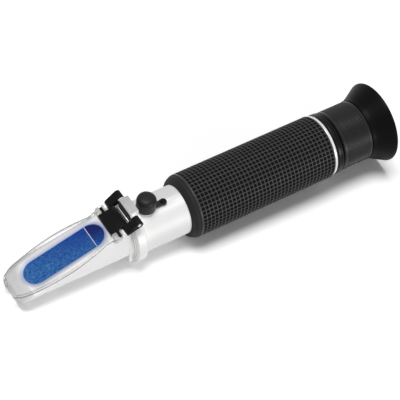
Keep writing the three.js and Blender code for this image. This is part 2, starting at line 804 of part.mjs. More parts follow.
// Two-metal strips that carry the cell's drift with temperature, on a carrier ring in the barrel
const xStripBack = xCell + stripLength;
const xCarrier = xStripBack - carrierLength + overrun;
const xStripScrew = xCarrier + carrierLength / 2;
const stripInside = cellRadius + runGap;
const sideNames = [[1, "far"], [-1, "near"]];

function sideBore(radius, side) {
  const from = Math.min(0, side * barrelBore);
  return turnedOnY([[from, 0], [from, radius], [from + barrelBore, radius], [from + barrelBore, 0]],
    xStripScrew, 0);
}

function strip(side) {
  const a = side * stripInside;
  const b = side * (stripInside + stripThickness);
  return box(xCell, xStripBack, Math.min(a, b), Math.max(a, b), -stripHeight / 2, stripHeight / 2)
    .subtract(sideBore(stripScrewRadius + slipGap, side));
}

function stripScrew(side) {
  const head = side * (stripInside - fitGap - stripScrewHead);
  const under = side * (stripInside - fitGap);
  const tip = side * (barrelBore - runGap * 2);
  return turnedOnY([[head, 0], [head, stripScrewRadius * 2], [under, stripScrewRadius * 2],
    [under, stripScrewRadius], [tip, stripScrewRadius], [tip, 0]], xStripScrew, 0);
}

const fittedRadius = barrelBore - fitGap;
const carrier = ring(xCarrier, xCarrier + carrierLength, fittedRadius, fittedRadius - carrierWall);
add("strip_carrier", sideNames.reduce((solid, [side]) =>
  solid.subtract(sideBore(stripScrewRadius + slipGap, side)), carrier), darkMetal);
for (const [side, name] of sideNames) {
  add("bimetal_strip_" + name, strip(side), brass);
  add("strip_screw_" + name, stripScrew(side), steel);
}

// Light baffles
for (let i = 1; i <= baffleCount; i++) {
  const at = xCarrier + carrierLength + baffleSpacing * (i - 1 / 2);
  add("light_baffle_" + i,
    ring(at, at + baffleThickness, fittedRadius, fittedRadius - baffleDepth), darkMetal);
}

// Reticle glass in its holder
const xSleeve = xNeckEnd - sleeveInside;
const xHolder = xSleeve - slipGap - holderLength;
const recess = reticleThickness + ringLength + fitGap * 2;
const reticleRadius = fittedRadius - holderWall - fitGap * 2;
const holderBore = reticleRadius - holderStep;
add("reticle_holder", turned([
  [xHolder, reticleRadius + fitGap * 2],
  [xHolder + recess, reticleRadius + fitGap * 2],
  [xHolder + recess, holderBore],
  [xHolder + holderLength, holderBore],
  [xHolder + holderLength, fittedRadius],
  [xHolder, fittedRadius],
], innerSides), darkMetal);
add("reticle_glass", ring(xHolder + recess - fitGap - reticleThickness, xHolder + recess - fitGap,
  reticleRadius), clearGlass);
add("reticle_ring", ring(xHolder, xHolder + ringLength, reticleRadius, holderBore), darkMetal);

// Eyepiece sleeve, fixed in the barrel, with the key and the seal that the focus ring runs on
const sleeveRadius = fittedRadius;
const sleeveBore = sleeveRadius - sleeveWall;
const eyeCellRadius = sleeveBore - slipGap;
const eyeCellBore = eyeCellRadius - eyeCellWall;
const sealStretch = sleeveRadius + slipGap - sealRadius;
const xSleeveEnd = xNeckEnd + sleeveOutside;
const xEyeCell = xSleeve + sleeveInside / 2 + overrun / 2;
const xKey = xFocus + keyRadius * 2 + overrun;
const xSeal = xSleeveEnd - sealRadius * 2 - overrun * 2;
const grooveFloor = sealStretch - sealRadius - fitGap;
const grooveHalf = sealRadius + fitGap;
const keyProfile = (from, to, radius) => [[from, 0], [from, radius], [to, radius], [to, 0]];
add("eyepiece_sleeve", turned([
  [xSleeve, sleeveBore],
  [xSleeveEnd, sleeveBore],
  [xSleeveEnd, sleeveRadius],
  [xSeal + grooveHalf, sleeveRadius],
  [xSeal + grooveHalf, grooveFloor],
  [xSeal - grooveHalf, grooveFloor],
  [xSeal - grooveHalf, sleeveRadius],
  [xSleeve, sleeveRadius],
], innerSides).subtract(turnedOnZ(keyProfile(0, barrelBore, keyRadius + fitGap), xKey)), darkMetal);
const keyLow = eyeCellBore + slipGap;
add("focus_key", turnedOnZ(keyProfile(keyLow, sleeveRadius - slipGap, keyRadius), xKey), steel);

function oRing() {
  const sides = 8;
  const section = Array.from({ length: sides }, (_, i) => {
    const round = Math.PI * 2 * i / sides;
    return [xSeal + sealRadius * Math.cos(round), sealStretch + sealRadius * Math.sin(round)];
  });
  return turned(section, innerSides);
}

add("focus_seal", oRing(), blackRubber);

// Lens cell that slides in the sleeve, with its two lenses, spacer and ring
const xFlangeBack = xCup - retainerLength - fitGap;
const xFlangeFront = xFlangeBack - eyeCellFlange;
const pocketRadius = spigotRadius - spigotWall;
const eyeCellFlangeRadius = pocketRadius - runGap;
const lensRadius = eyeCellBore - fitGap;
const spacerBore = lensRadius - spacerWall;
const fieldShoulderRoom = lensRoom(lensRadius, fieldLensCrown, eyeCellBore - eyeCellShoulder);
const fieldRoom = lensRoom(lensRadius, fieldLensCrown, spacerBore);
const eyeRoom = lensRoom(lensRadius, eyeLensCrown, spacerBore);
const xFieldLens = xEyeCell + eyeCellShoulder + fieldShoulderRoom;
const xSpacer = xFieldLens + lensEdge + fieldRoom;
const xEyeLens = xSpacer + spacerLength + eyeRoom;
const xLensRing = xEyeLens + lensEdge + eyeRoom;

function eyepieceCell() {
  const body = turned([
    [xEyeCell, eyeCellBore - eyeCellShoulder],
    [xEyeCell + eyeCellShoulder, eyeCellBore - eyeCellShoulder],
    [xEyeCell + eyeCellShoulder, eyeCellBore],
    [xFlangeBack, eyeCellBore],
    [xFlangeBack, eyeCellFlangeRadius],
    [xFlangeFront, eyeCellFlangeRadius],
    [xFlangeFront, eyeCellRadius],
    [xEyeCell, eyeCellRadius],
  ], innerSides);
  const half = keyRadius + slipGap;
  const keyway = box(xKey - half - focusTravel, xKey + half, -half, half, 0, sleeveBore);
  return body.subtract(keyway);
}

add("eyepiece_cell", eyepieceCell(), darkMetal);
add("field_lens", lens(xFieldLens, lensEdge, lensRadius, fieldLensCrown), clearGlass);
add("lens_spacer", ring(xSpacer, xSpacer + spacerLength, lensRadius, spacerBore), darkMetal);
add("eye_lens", lens(xEyeLens, lensEdge, lensRadius, eyeLensCrown), clearGlass);
add("lens_ring", ring(xLensRing, xLensRing + ringLength, lensRadius, spacerBore), darkMetal);

// Focus ring, which turns on the sleeve and carries the cell along by its flange
const xSpigotEnd = xCup + spigotLength;
const focusBore = sleeveRadius + runGap;
add("focus_ring", turned([
  [xFocus, focusBore],
  [xFlangeFront - slipGap, focusBore],
  [xFlangeFront - slipGap, pocketRadius],
  [xSpigotEnd, pocketRadius],
  [xSpigotEnd, spigotRadius],
  [xCup, spigotRadius],
  [xCup, focusRadius - focusBevel / 2],
  [xCup - focusBevel, focusRadius],
  [xFocus + focusBevel, focusRadius],
  [xFocus, focusRadius - focusBevel],
]), blackPlastic);
add("focus_retainer", ring(xFlangeBack + fitGap, xFlangeBack + fitGap + retainerLength,
  pocketRadius - fitGap, pocketRadius - fitGap - retainerWall), darkMetal);

// Rubber eyecup on the focus ring's spigot
function eyecup() {
  const rise = cupRadius - cupNeckRadius;
  const flare = cupFlareShares.map(([along, out]) => [xCup + cupLength * along, cupNeckRadius + rise * out]);
  const xFloor = xSpigotEnd + fitGap;
  const floorBore = spigotRadius - cupFloorDepth;
  return turned([
    [xCup + fitGap, spigotRadius + fitGap],
    [xCup + fitGap, cupNeckRadius],
    ...flare,
    [xRim, cupRadius],
    [xRim, cupRadius - cupRim],
    [xFloor + cupFloor * 2, spigotRadius],
    [xFloor + cupFloor, floorBore],
    [xFloor, floorBore],
    [xFloor, spigotRadius + fitGap],
  ]);
}

add("eyecup", eyecup(), blackRubber);

// Rubber grip, the bright trim ring behind it and the black collar
add("grip_sleeve", turned([
  [xGrip, barrelRadius + fitGap],
  [xGrip, barrelRadius + fitGap * 2],
  [xGrip + gripLipLength, gripLipRadius],
  [xGrip + gripLipLength + gripRound, gripRadius],
  [xTrim - fitGap - gripEndRound, gripRadius],
  [xTrim - fitGap, gripRadius - gripEndRound],
  [xTrim - fitGap, gripSeatRadius + fitGap],
  [xGripSeat - fitGap, gripSeatRadius + fitGap],
  [xGripSeat - fitGap, barrelRadius + fitGap],
]), blackRubber);
add("trim_ring", ring(xTrim, xCollar - fitGap, trimRadius, barrelRadius + fitGap, outerSides), steel);
add("rear_collar", turned([
  [xCollar, barrelRadius + fitGap],
  [xCollar, collarRadius - collarRound],
  [xCollar + collarRound, collarRadius],
  [xCollar + collarLength - collarRound, collarRadius],
  [xCollar + collarLength, collarRadius - collarRound],
  [xCollar + collarLength, barrelRadius + fitGap],
]), blackPlastic);

export default instrument;
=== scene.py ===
# Looks of the handheld refractometer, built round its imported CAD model.
# Sizes are written in millimetres as in the part's source: x = 0 at the front tip, z = 0 on the optical axis.
import math
import bpy
import bmesh
from mathutils import Matrix, Vector


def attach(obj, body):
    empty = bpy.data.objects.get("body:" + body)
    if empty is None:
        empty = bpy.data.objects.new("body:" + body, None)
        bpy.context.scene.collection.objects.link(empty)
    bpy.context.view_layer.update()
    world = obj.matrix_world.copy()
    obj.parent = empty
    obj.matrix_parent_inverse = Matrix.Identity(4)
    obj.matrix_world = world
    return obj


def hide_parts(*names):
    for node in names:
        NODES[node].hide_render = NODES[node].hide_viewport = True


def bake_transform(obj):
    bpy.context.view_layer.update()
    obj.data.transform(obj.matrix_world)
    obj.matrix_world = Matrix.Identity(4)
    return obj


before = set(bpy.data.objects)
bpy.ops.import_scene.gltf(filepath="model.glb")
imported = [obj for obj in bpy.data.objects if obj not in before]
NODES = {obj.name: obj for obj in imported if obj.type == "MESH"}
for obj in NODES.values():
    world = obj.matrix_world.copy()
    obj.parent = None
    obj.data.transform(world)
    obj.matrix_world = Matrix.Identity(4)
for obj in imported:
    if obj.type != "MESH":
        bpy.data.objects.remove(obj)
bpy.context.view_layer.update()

MM = 0.001
X_MIDDLE = 102.6
Z_MIDDLE = 0.45


def x_at(x):
    """A station of the part's source, in the row frame in metres."""
    return (x - X_MIDDLE) * MM


def z_at(z):
    """A height of the part's source, in the row frame in metres."""
    return (z - Z_MIDDLE) * MM


def row(x, y, z):
    """A point of the part's source, in the row frame in metres."""
    return Vector((x_at(x), y * MM, z_at(z)))


# Stations and sizes that this script shares with the part's source
HEAD_LENGTH = 55.1
TROUGH_RADIUS = 10.5
FACE_TOP = 14.1
FACE_NOSE_SHARE = 0.3067
FACE_SLOPE = (FACE_TOP + TROUGH_RADIUS * FACE_NOSE_SHARE) / HEAD_LENGTH
PRISM_HALF_WIDTH = 6.0
PLATE_HALF_WIDTH = 11.1
SLEEVE_BORE = 12.5
GRIP_SEAT_BORE = 13.6
GRIP_RADIUS = 16.1
X_FLANGE = 57.3
X_SCREW = 71.8
X_ANCHOR = 80.6
X_GRIP = 90.6
X_TRIM = 171.6
X_COLLAR = 172.7
X_FOCUS = 177.2
X_CUP = 193.8
X_RIM = 205.2

# Centres of the prism's round ends, and the pale line before its end block, a painted highlight
X_PRISM_FRONT = 14.3
X_PRISM_BACK = 42.6
X_EXIT_EDGE = 42.05

# Hinge block: heights of its rough top, which carries painted grey shade, stations of its front face, and
# heights of the slot before it, where that face carries painted black shade
BLOCK_TOP_RANGE = (20.9, 22)
BLOCK_FRONT_RANGE = (59.4, 60.0)
BLOCK_SLOT_RANGE = (13.6, 20.6)

# The clear plate's ears lie behind this station
X_EARS = 49.6

# Ends of the grip's waffle, and how far a pit's rim lies below the crown of the ribs
X_WAFFLE = 95.3
X_WAFFLE_END = 170.5
RIB_CROWN = 0.2


def face_height(x):
    """Height of the slanted measuring face above the axis."""
    return FACE_TOP + (x - X_FLANGE) * FACE_SLOPE


# Materials

# Sockets of the mix node for colours, which share their names with those for numbers
MIX_A = 6
MIX_B = 7
MIX_RESULT = 2


class Graph:
    """A node tree, with short ways to add nodes. A value is a number or colour, or another node's socket."""

    def __init__(self, tree):
        self.nodes = tree.nodes
        self.links = tree.links

    def node(self, kind):
        return self.nodes.new("ShaderNode" + kind)

    def put(self, socket, value):
        """Links a socket to another one, or sets it to a plain value."""
        if isinstance(value, bpy.types.NodeSocket):
            self.links.new(value, socket)
        else:
            socket.default_value = value

    def coordinates(self, scale=(1, 1, 1)):
        """The object's own coordinates in metres, stretched by scale."""
        mapping = self.node("Mapping")
        mapping.inputs["Scale"].default_value = scale
        self.put(mapping.inputs["Vector"], self.node("TexCoord").outputs["Object"])
        return mapping.outputs["Vector"]

    def split(self, vector):
        """The three parts of a vector."""
        node = self.node("SeparateXYZ")
        self.put(node.inputs["Vector"], vector)
        return tuple(node.outputs)

    def geometry(self, output):
        return self.node("NewGeometry").outputs[output]

    def noise(self, vector, scale, detail, roughness=0.5):
        texture = self.node("TexNoise")
        self.put(texture.inputs["Vector"], vector)
        self.put(texture.inputs["Scale"], scale)
        self.put(texture.inputs["Detail"], detail)
        self.put(texture.inputs["Roughness"], roughness)
        return texture.outputs["Fac"]

    def ranged(self, source, low, high, from_low=0.3, from_high=0.7):
        """A factor stretched to run from low to high. Noise mostly lies between 0.3 and 0.7."""
        node = self.node("MapRange")
        self.put(node.inputs["Value"], source)
        self.put(node.inputs["From Min"], from_low)
        self.put(node.inputs["From Max"], from_high)
        self.put(node.inputs["To Min"], low)
        self.put(node.inputs["To Max"], high)
        return node.outputs["Result"]

    def mixed(self, factor, a, b):
        """Colour a where the factor is 0, and b where it is 1."""
        node = self.node("Mix")
        node.data_type = "RGBA"
        self.put(node.inputs["Factor"], factor)
        for index, value in ((MIX_A, a), (MIX_B, b)):
            self.put(node.inputs[index], (*value, 1) if isinstance(value, tuple) else value)
        return node.outputs[MIX_RESULT]

    def math(self, operation, *values):
        """A math node's output."""
        node = self.node("Math")
        node.operation = operation
        for socket, value in zip(node.inputs, values):
            self.put(socket, value)
        return node.outputs[0]

    def between(self, source, low, high):
        """A factor that is 1 between two values of the source, and 0 outside them."""
        above = self.math("GREATER_THAN", source, low)
        below = self.math("LESS_THAN", source, high)
        return self.math("MULTIPLY", above, below)

    def hypotenuse(self, a, b):
        """The distance from an axis or line, of its two parts."""
        squares = self.math("ADD", self.math("MULTIPLY", a, a), self.math("MULTIPLY", b, b))
        return self.math("SQRT", squares)

    def bumped(self, shader, height, strength, distance_mm):
        node = self.node("Bump")
        self.put(node.inputs["Strength"], strength)
        self.put(node.inputs["Distance"], distance_mm * MM)
        self.put(node.inputs["Height"], height)
        self.put(shader.inputs["Normal"], node.outputs["Normal"])


def material(name):
    """A new material, its graph and its shader."""
    m = bpy.data.materials.new(name)
    m.use_nodes = True
    return m, Graph(m.node_tree), m.node_tree.nodes["Principled BSDF"]


def grey(level):
    return (level, level, level)


def finish(name, tones, grain, roughness, bump, metallic=0.0, specular=0.5, stretch=(1, 1, 1), edge_highlight=None):
    """A plain finish: two tones in broad grain, roughness and bump in fine grain, and a painted highlight on
    sharp edges.

    Roughness is its lowest and highest value, and bump its strength and depth in millimetres.
    """
    m, graph, shader = material(name)
    vector = graph.coordinates(stretch)
    fine = graph.noise(vector, grain, 4.0, 0.6)
    broad = graph.noise(vector, grain / 30, 2.0)
    tone = graph.mixed(graph.ranged(broad, 0, 1), *tones)
    if edge_highlight is not None:
        # Painted highlight: sharp convex edges get a lighter tone
        edges = graph.ranged(graph.geometry("Pointiness"), 0, 1, 0.52, 0.6)
        tone = graph.mixed(edges, tone, edge_highlight)
    graph.put(shader.inputs["Base Color"], tone)
    graph.put(shader.inputs["Roughness"], graph.ranged(fine, *roughness))
    shader.inputs["Metallic"].default_value = metallic
    shader.inputs["Specular IOR Level"].default_value = specular
    graph.bumped(shader, fine, *bump)
    return m


PLATED = finish("satin_plating", tones=((0.92, 0.92, 0.915), (0.88, 0.88, 0.875)), grain=2500,
                roughness=(0.42, 0.5), bump=(0.25, 0.02), metallic=0.1, stretch=(0.3, 1, 1))
TRIM = finish("bright_trim", tones=(grey(0.93), grey(0.9)), grain=1500,
              roughness=(0.15, 0.22), bump=(0.1, 0.01), metallic=0.2)
STEEL = finish("bright_steel", tones=(grey(0.58), (0.52, 0.52, 0.53)), grain=2000,
               roughness=(0.12, 0.2), bump=(0.15, 0.01), metallic=1.0)
BRASS = finish("brass", tones=((0.62, 0.45, 0.16), (0.52, 0.36, 0.12)), grain=2000,
               roughness=(0.25, 0.35), bump=(0.2, 0.01), metallic=1.0)
DARK_METAL = finish("blackened_metal", tones=((0.03, 0.03, 0.032), (0.02, 0.02, 0.022)), grain=2500,
                    roughness=(0.5, 0.65), bump=(0.3, 0.02), metallic=0.4)
# Its sharp edges carry a painted highlight
BLACK_PLASTIC = finish("black_plastic", tones=(grey(0.004), grey(0.003)), grain=2200,
                       roughness=(0.32, 0.42), bump=(0.35, 0.02), specular=0.08, edge_highlight=grey(0.012))
KNURL_PLASTIC = finish("knurled_black_plastic", tones=(grey(0.008), grey(0.006)), grain=2200,
                       roughness=(0.3, 0.4), bump=(0.35, 0.02), specular=0.24)
GLOSSY_PLASTIC = finish("glossy_black_plastic", tones=(grey(0.003), grey(0.002)), grain=900,
                        roughness=(0.24, 0.32), bump=(0.1, 0.01), specular=0.15)
CUP_RUBBER = finish("eyecup_rubber", tones=(grey(0.002), grey(0.003)), grain=1200,
                    roughness=(0.36, 0.44), bump=(0.1, 0.005), specular=0.06)
CAP_RUBBER = finish("cap_rubber", tones=(grey(0.006), grey(0.005)), grain=1500,
                    roughness=(0.36, 0.46), bump=(0.35, 0.03), specular=0.22)
SEAL_RUBBER = finish("black_rubber", tones=(grey(0.004), grey(0.003)), grain=1500,
                     roughness=(0.3, 0.38), bump=(0.35, 0.03), specular=0.3)
CEMENT = finish("cement", tones=((0.75, 0.75, 0.72), (0.65, 0.65, 0.62)), grain=1500,
                roughness=(0.7, 0.85), bump=(0.4, 0.05))

# Tones of the casting: painted lilac light from the prism beside it and how far that reaches, painted black
# shade in the slot, and the range of the normal's upward part in which a face is a top face
PAINTED_PRISM_LIGHT = (0.27, 0.34, 0.64)
PRISM_LIGHT_WIDTH = 2.3
SLOT_PAINTED_SHADE = grey(0.006)
FACES_UP = (0.8, 1.1)


def casting_material():
    """Pale plating: painted lilac light from the prism beside it, a rough top to the hinge block with painted
    grey shade on it, and painted black shade on the block's front face in the slot.
    """
    m, graph, shader = material("casting")
    vector = graph.coordinates()
    x, y, z = graph.split(vector)
    fine = graph.noise(vector, 2500, 4.0, 0.6)
    broad = graph.noise(vector, 80, 2.0)
    upward = graph.between(graph.split(graph.geometry("Normal"))[2], *FACES_UP)
    tone = graph.mixed(graph.ranged(broad, 0, 1), (0.95, 0.95, 0.945), (0.93, 0.93, 0.925))

    # Painted light: a lilac glow on top faces beside the prism, fading out past its edge
    past_front = graph.math("MAXIMUM", x, x_at(X_PRISM_FRONT))
    nearest = graph.math("MINIMUM", past_front, x_at(X_PRISM_BACK))
    reach = graph.hypotenuse(graph.math("SUBTRACT", x, nearest), y)
    prism_light_share = graph.ranged(reach, 1, 0, PRISM_HALF_WIDTH * MM, (PRISM_HALF_WIDTH + PRISM_LIGHT_WIDTH) * MM)
    tone = graph.mixed(graph.math("MULTIPLY", prism_light_share, upward), tone, PAINTED_PRISM_LIGHT)

    # Painted shade: the hinge block's top face is a mottled grey; it is also rougher
    at_top = graph.between(z, *(z_at(height) for height in BLOCK_TOP_RANGE))
    top = graph.math("MULTIPLY", at_top, upward)
    mottle = graph.noise(vector, 1400, 6.0, 0.75)
    tone = graph.mixed(top, tone, graph.mixed(graph.ranged(mottle, 0, 1), grey(0.5), grey(0.7)))

    # Painted shade: the block's front face is black where it faces the slot before it
    at_front = graph.between(x, *(x_at(station) for station in BLOCK_FRONT_RANGE))
    in_slot = graph.between(z, *(z_at(height) for height in BLOCK_SLOT_RANGE))
    tone = graph.mixed(graph.math("MULTIPLY", at_front, in_slot), tone, SLOT_PAINTED_SHADE)

    graph.put(shader.inputs["Base Color"], tone)
    rougher = graph.math("MULTIPLY", top, 0.25)
    graph.put(shader.inputs["Roughness"], graph.math("ADD", graph.ranged(fine, 0.4, 0.48), rougher))
    shader.inputs["Metallic"].default_value = 0.1
    graph.bumped(shader, fine, 0.25, 0.02)
    return m


# Tones of the grip, painted shade in its pits and painted highlight on its rib crowns, how far below a rib's
# crown that highlight is full, and the lip's share of it
CROWN_EDGE = 0.05
PIT_PAINTED_SHADE = grey(0.0008)
CROWN_PAINTED_HIGHLIGHT = grey(0.06)
LIP_HIGHLIGHT_SHARE = 0.3


def grip_material():
    """Rubber with a painted highlight on its ribs and lip over painted shade in its pits; ribs and lip are
    glossier, the pits matt.
    """
    m, graph, shader = material("grip_rubber")
    vector = graph.coordinates()
    x, side, z = graph.split(vector)
    fine = graph.noise(vector, 1500, 4.0, 0.6)
    reach = graph.hypotenuse(side, graph.math("SUBTRACT", z, z_at(0)))
    rib = graph.ranged(reach, 0, 1, (GRIP_RADIUS - RIB_CROWN) * MM, (GRIP_RADIUS - CROWN_EDGE) * MM)
    lip = graph.ranged(x, LIP_HIGHLIGHT_SHARE, 0, x_at(X_WAFFLE - 0.2), x_at(X_WAFFLE))
    crown = graph.math("MAXIMUM", rib, lip)
    # Painted highlight on the rib crowns and the lip, painted shade in the pits
    graph.put(shader.inputs["Base Color"], graph.mixed(crown, PIT_PAINTED_SHADE, CROWN_PAINTED_HIGHLIGHT))
    shader.inputs["Specular IOR Level"].default_value = 0.18
    grain = graph.ranged(fine, 0.0, 0.06)
    polish = graph.ranged(crown, 0.8, 0.2, 0, 1)
    graph.put(shader.inputs["Roughness"], graph.math("ADD", grain, polish))
    graph.bumped(shader, fine, 0.3, 0.02)
    return m


# Range of the normal's sideways part over which a clear face becomes a side face, whose darker tone is
# painted shade for the dark lines refraction draws at its edges, and the tone of the ears
FACES_SIDEWAYS = (0.45, 0.8)
MILKY = grey(0.75)
MILKY_OPACITY = 0.35


def clear_material(name, colour, side_painted_shade, opacity, side_opacity, roughness, x_ears=None):
    """See-through material, denser on its side faces, which carry painted shade for refraction at its edges,
    and, with x_ears, milky behind that station.
    """
    m, graph, shader = material(name)
    vector = graph.coordinates()
    fine = graph.noise(vector, 400, 2.0)
    sideways = graph.math("ABSOLUTE", graph.split(graph.geometry("Normal"))[1])
    side = graph.ranged(sideways, 0, 1, *FACES_SIDEWAYS)
    # Painted shade: side faces are darker and denser, standing for the dark lines refraction draws at the
    # edges
    tone = graph.mixed(side, colour, side_painted_shade)
    density = graph.ranged(side, opacity, side_opacity, 0, 1)
    if x_ears is not None:
        ears = graph.ranged(graph.split(vector)[0], 0, 1, x_at(x_ears), x_at(x_ears + 0.3))
        tone = graph.mixed(ears, tone, MILKY)
        density = graph.math("MAXIMUM", density, graph.math("MULTIPLY", ears, MILKY_OPACITY))
    graph.put(shader.inputs["Base Color"], tone)
    graph.put(shader.inputs["Roughness"], graph.ranged(fine, roughness, roughness + 0.05))
    graph.put(shader.inputs["Alpha"], density)
    shader.inputs["IOR"].default_value = 1.45
    graph.bumped(shader, graph.noise(vector, 120, 1.0), 0.05, 0.02)
    return m


# Stations between which the glass deepens, and the pale line at its exit edge, a painted highlight
X_DEEPENS = (10, 48)
EXIT_EDGE_HIGHLIGHT = (0.75, 0.83, 0.95)
EDGE_HALF = 0.05


def prism_material(name, deep, light, far_deep, slant, exit_edge=False):
    """Etched blue glass: mottled, deeper to the back and, by slant, the far side, with a painted highlight at
    its exit edge.
    """
    m, graph, shader = material(name)
    vector = graph.coordinates()
    x, y, _ = graph.split(vector)
    mottle = graph.noise(vector, 900, 5.0, 0.7)
    cloud = graph.noise(vector, 130, 2.0)
    tone = graph.mixed(graph.ranged(mottle, 0, 1, 0.36, 0.64), deep, light)
    along = graph.ranged(x, 0, 1, *(x_at(station) for station in X_DEEPENS))
    across = graph.math("MULTIPLY_ADD", y, slant, along)
    depth = graph.math("MULTIPLY_ADD", cloud, 0.5, across)
    tone = graph.mixed(graph.ranged(depth, 0, 1, 0.3, 1.4), tone, far_deep)
    if exit_edge:
        # Painted highlight: a thin pale line at the exit edge
        line = graph.ranged(x, 0, 1, x_at(X_EXIT_EDGE - EDGE_HALF), x_at(X_EXIT_EDGE + EDGE_HALF))
        tone = graph.mixed(line, tone, EXIT_EDGE_HIGHLIGHT)
    graph.put(shader.inputs["Base Color"], tone)
    graph.put(shader.inputs["Roughness"], graph.ranged(mottle, 0.25, 0.45))
    shader.inputs["IOR"].default_value = 1.5
    shader.inputs["Specular IOR Level"].default_value = 0.12
    graph.bumped(shader, mottle, 0.2, 0.02)
    return m


CASTING = casting_material()
GRIP_RUBBER = grip_material()
CLEAR_PLASTIC = clear_material("clear_plastic", colour=(0.3, 0.3, 0.31), side_painted_shade=grey(0.17),
                               opacity=0.012, side_opacity=0.72, roughness=0.06, x_ears=X_EARS)
CLEAR_GLASS = clear_material("clear_glass", colour=(0.5, 0.58, 0.6), side_painted_shade=(0.4, 0.46, 0.48),
                             opacity=0.2, side_opacity=0.5, roughness=0.02)
BLUE_GLASS = prism_material("blue_glass", deep=(0.003, 0.07, 0.38), light=(0.07, 0.29, 0.66),
                            far_deep=(0.001, 0.055, 0.36), slant=50, exit_edge=True)
DEEP_BLUE_GLASS = prism_material("deep_blue_glass", deep=(0.001, 0.05, 0.38), light=(0.006, 0.16, 0.6),
                                 far_deep=(0.0005, 0.012, 0.16), slant=120)


# Pieces

def placed(name, data):
    """A new object in the scene, of a mesh, lamp or camera."""
    obj = bpy.data.objects.new(name, data)
    bpy.context.scene.collection.objects.link(obj)
    return obj


def dressed(name, mesh, look, smooth=None):
    """A finished mesh in the scene with its material, smoothed up to an angle in degrees if one is given."""
    mesh.name = name
    mesh.materials.clear()
    mesh.materials.append(look)
    if smooth is not None:
        mesh.shade_smooth()
        mesh.set_sharp_from_angle(angle=math.radians(smooth))
    return placed(name, mesh)


def piece(name, mesh, body, look, replaced=(), smooth=35):
    """Puts a finished mesh in the scene as a piece on a body."""
    obj = dressed(name, mesh, look, smooth)
    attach(obj, body)
    if replaced:
        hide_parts(*replaced)


def mesh_from(points, faces):
    """A mesh from points of the part's source, with its normals turned outwards."""
    mesh = bpy.data.meshes.new("mesh")
    mesh.from_pydata([row(*p) for p in points], [], faces)
    bm = bmesh.new()
    bm.from_mesh(mesh)
    bmesh.ops.remove_doubles(bm, verts=bm.verts, dist=1e-7)
    bmesh.ops.recalc_face_normals(bm, faces=bm.faces)
    bm.to_mesh(mesh)
    bm.free()
    return mesh


def bevelled(mesh, width_mm, sharper_than, outer="MITER_SHARP"):
    """A copy of a mesh with two-step rounding on its edges sharper than an angle in degrees."""
    obj = placed("unrounded", mesh)
    bevel = obj.modifiers.new("edges", "BEVEL")
    bevel.width = width_mm * MM
    bevel.segments = 2
    bevel.limit_method = "ANGLE"
    bevel.angle_limit = math.radians(sharper_than)
    bevel.use_clamp_overlap = True
    bevel.miter_outer = outer
    baked = bpy.data.meshes.new_from_object(obj.evaluated_get(bpy.context.evaluated_depsgraph_get()))
    bpy.data.objects.remove(obj)
    return baked


def refined(node, name, body, look, slot_name, bevel_mm):
    """A CAD node's shape with its flat faces joined up and its edges rounded, in its place."""
    bm = bmesh.new()
    bm.from_mesh(NODES[node].data)
    bmesh.ops.remove_doubles(bm, verts=bm.verts, dist=2e-6)
    bmesh.ops.dissolve_limit(bm, angle_limit=math.radians(1), verts=bm.verts, edges=bm.edges)
    mesh = bpy.data.meshes.new(name)
    bm.to_mesh(mesh)
    bm.free()
    piece(name, bevelled(mesh, bevel_mm, 32, "MITER_ARC"), body, look, (node,))


def rounded(points, radii, steps=3):
    """A closed outline whose corners are rounded by the radius given for each, 0 for a sharp one."""
    out = []
    count = len(points)
    for i, (point, radius) in enumerate(zip(points, radii)):
        p = Vector(point)
        before = Vector(points[i - 1]) - p
        after = Vector(points[(i + 1) % count]) - p
        if radius <= 0:
            out.append(tuple(p))
            continue
        half = before.angle(after) / 2
        reach = min(radius / math.tan(half), before.length * 0.49, after.length * 0.49)
        radius = reach * math.tan(half)
        start, end = p + before.normalized() * reach, p + after.normalized() * reach
        centre = p + (before.normalized() + after.normalized()).normalized() * radius / math.sin(half)
        a, b = start - centre, end - centre
        turn = a.angle_signed(b)
        for k in range(steps + 1):
            out.append(tuple(centre + Matrix.Rotation(-turn * k / steps, 2) @ a))
    return out


def from_station(x, *pairs):
    """Points (x, radius) of a profile, from pairs of distance behind a station and radius."""
    return [(x + behind, radius) for behind, radius in pairs]


def on_circle(x, y, radius, turn):
    return (x + radius * math.cos(turn), y + radius * math.sin(turn))


def lathe(profile, sides=128, wobble=None):
    """A closed ring: the profile of (x, radius) turned round the optical axis.

    Wobble gives what is added to the radius of the profile's point i on side s.
    """
    points, faces = [], []
    count = len(profile)
    for s in range(sides):
        turn = 2 * math.pi * s / sides
        for i, (x, r) in enumerate(profile):
            out = r + (wobble(i, s) if wobble else 0)
            points.append((x, -out * math.sin(turn), out * math.cos(turn)))
    for s in range(sides):
        a, b = s * count, (s + 1) % sides * count
        for i in range(count):
            j = (i + 1) % count
            faces.append((a + i, a + j, b + j, b + i))
    return mesh_from(points, faces)


def joined_rings(rings, sides):
    """Faces between rings of points that follow each other in a list."""
    faces = []
    for i in range(rings - 1):
        for s in range(sides):
            a, b = i * sides + s, i * sides + (s + 1) % sides
            faces.append((a, b, b + sides, a + sides))
    return faces


def upright_lathe(profile, x, y, sides=64):
    """A profile of (z, radius) turned round an upright axis; it starts and ends on the axis."""
    points = []
    rings = profile[1:-1]
    for z, r in rings:
        for s in range(sides):
            points.append((*on_circle(x, y, r, 2 * math.pi * s / sides), z))
    points += [(x, y, profile[0][0]), (x, y, profile[-1][0])]
    first, last = len(points) - 2, len(points) - 1
    faces = joined_rings(len(rings), sides)
    top_ring = (len(rings) - 1) * sides
    for s in range(sides):
        following = (s + 1) % sides
        faces.append((first, s, following))
        faces.append((last, top_ring + s, top_ring + following))
    return mesh_from(points, faces)


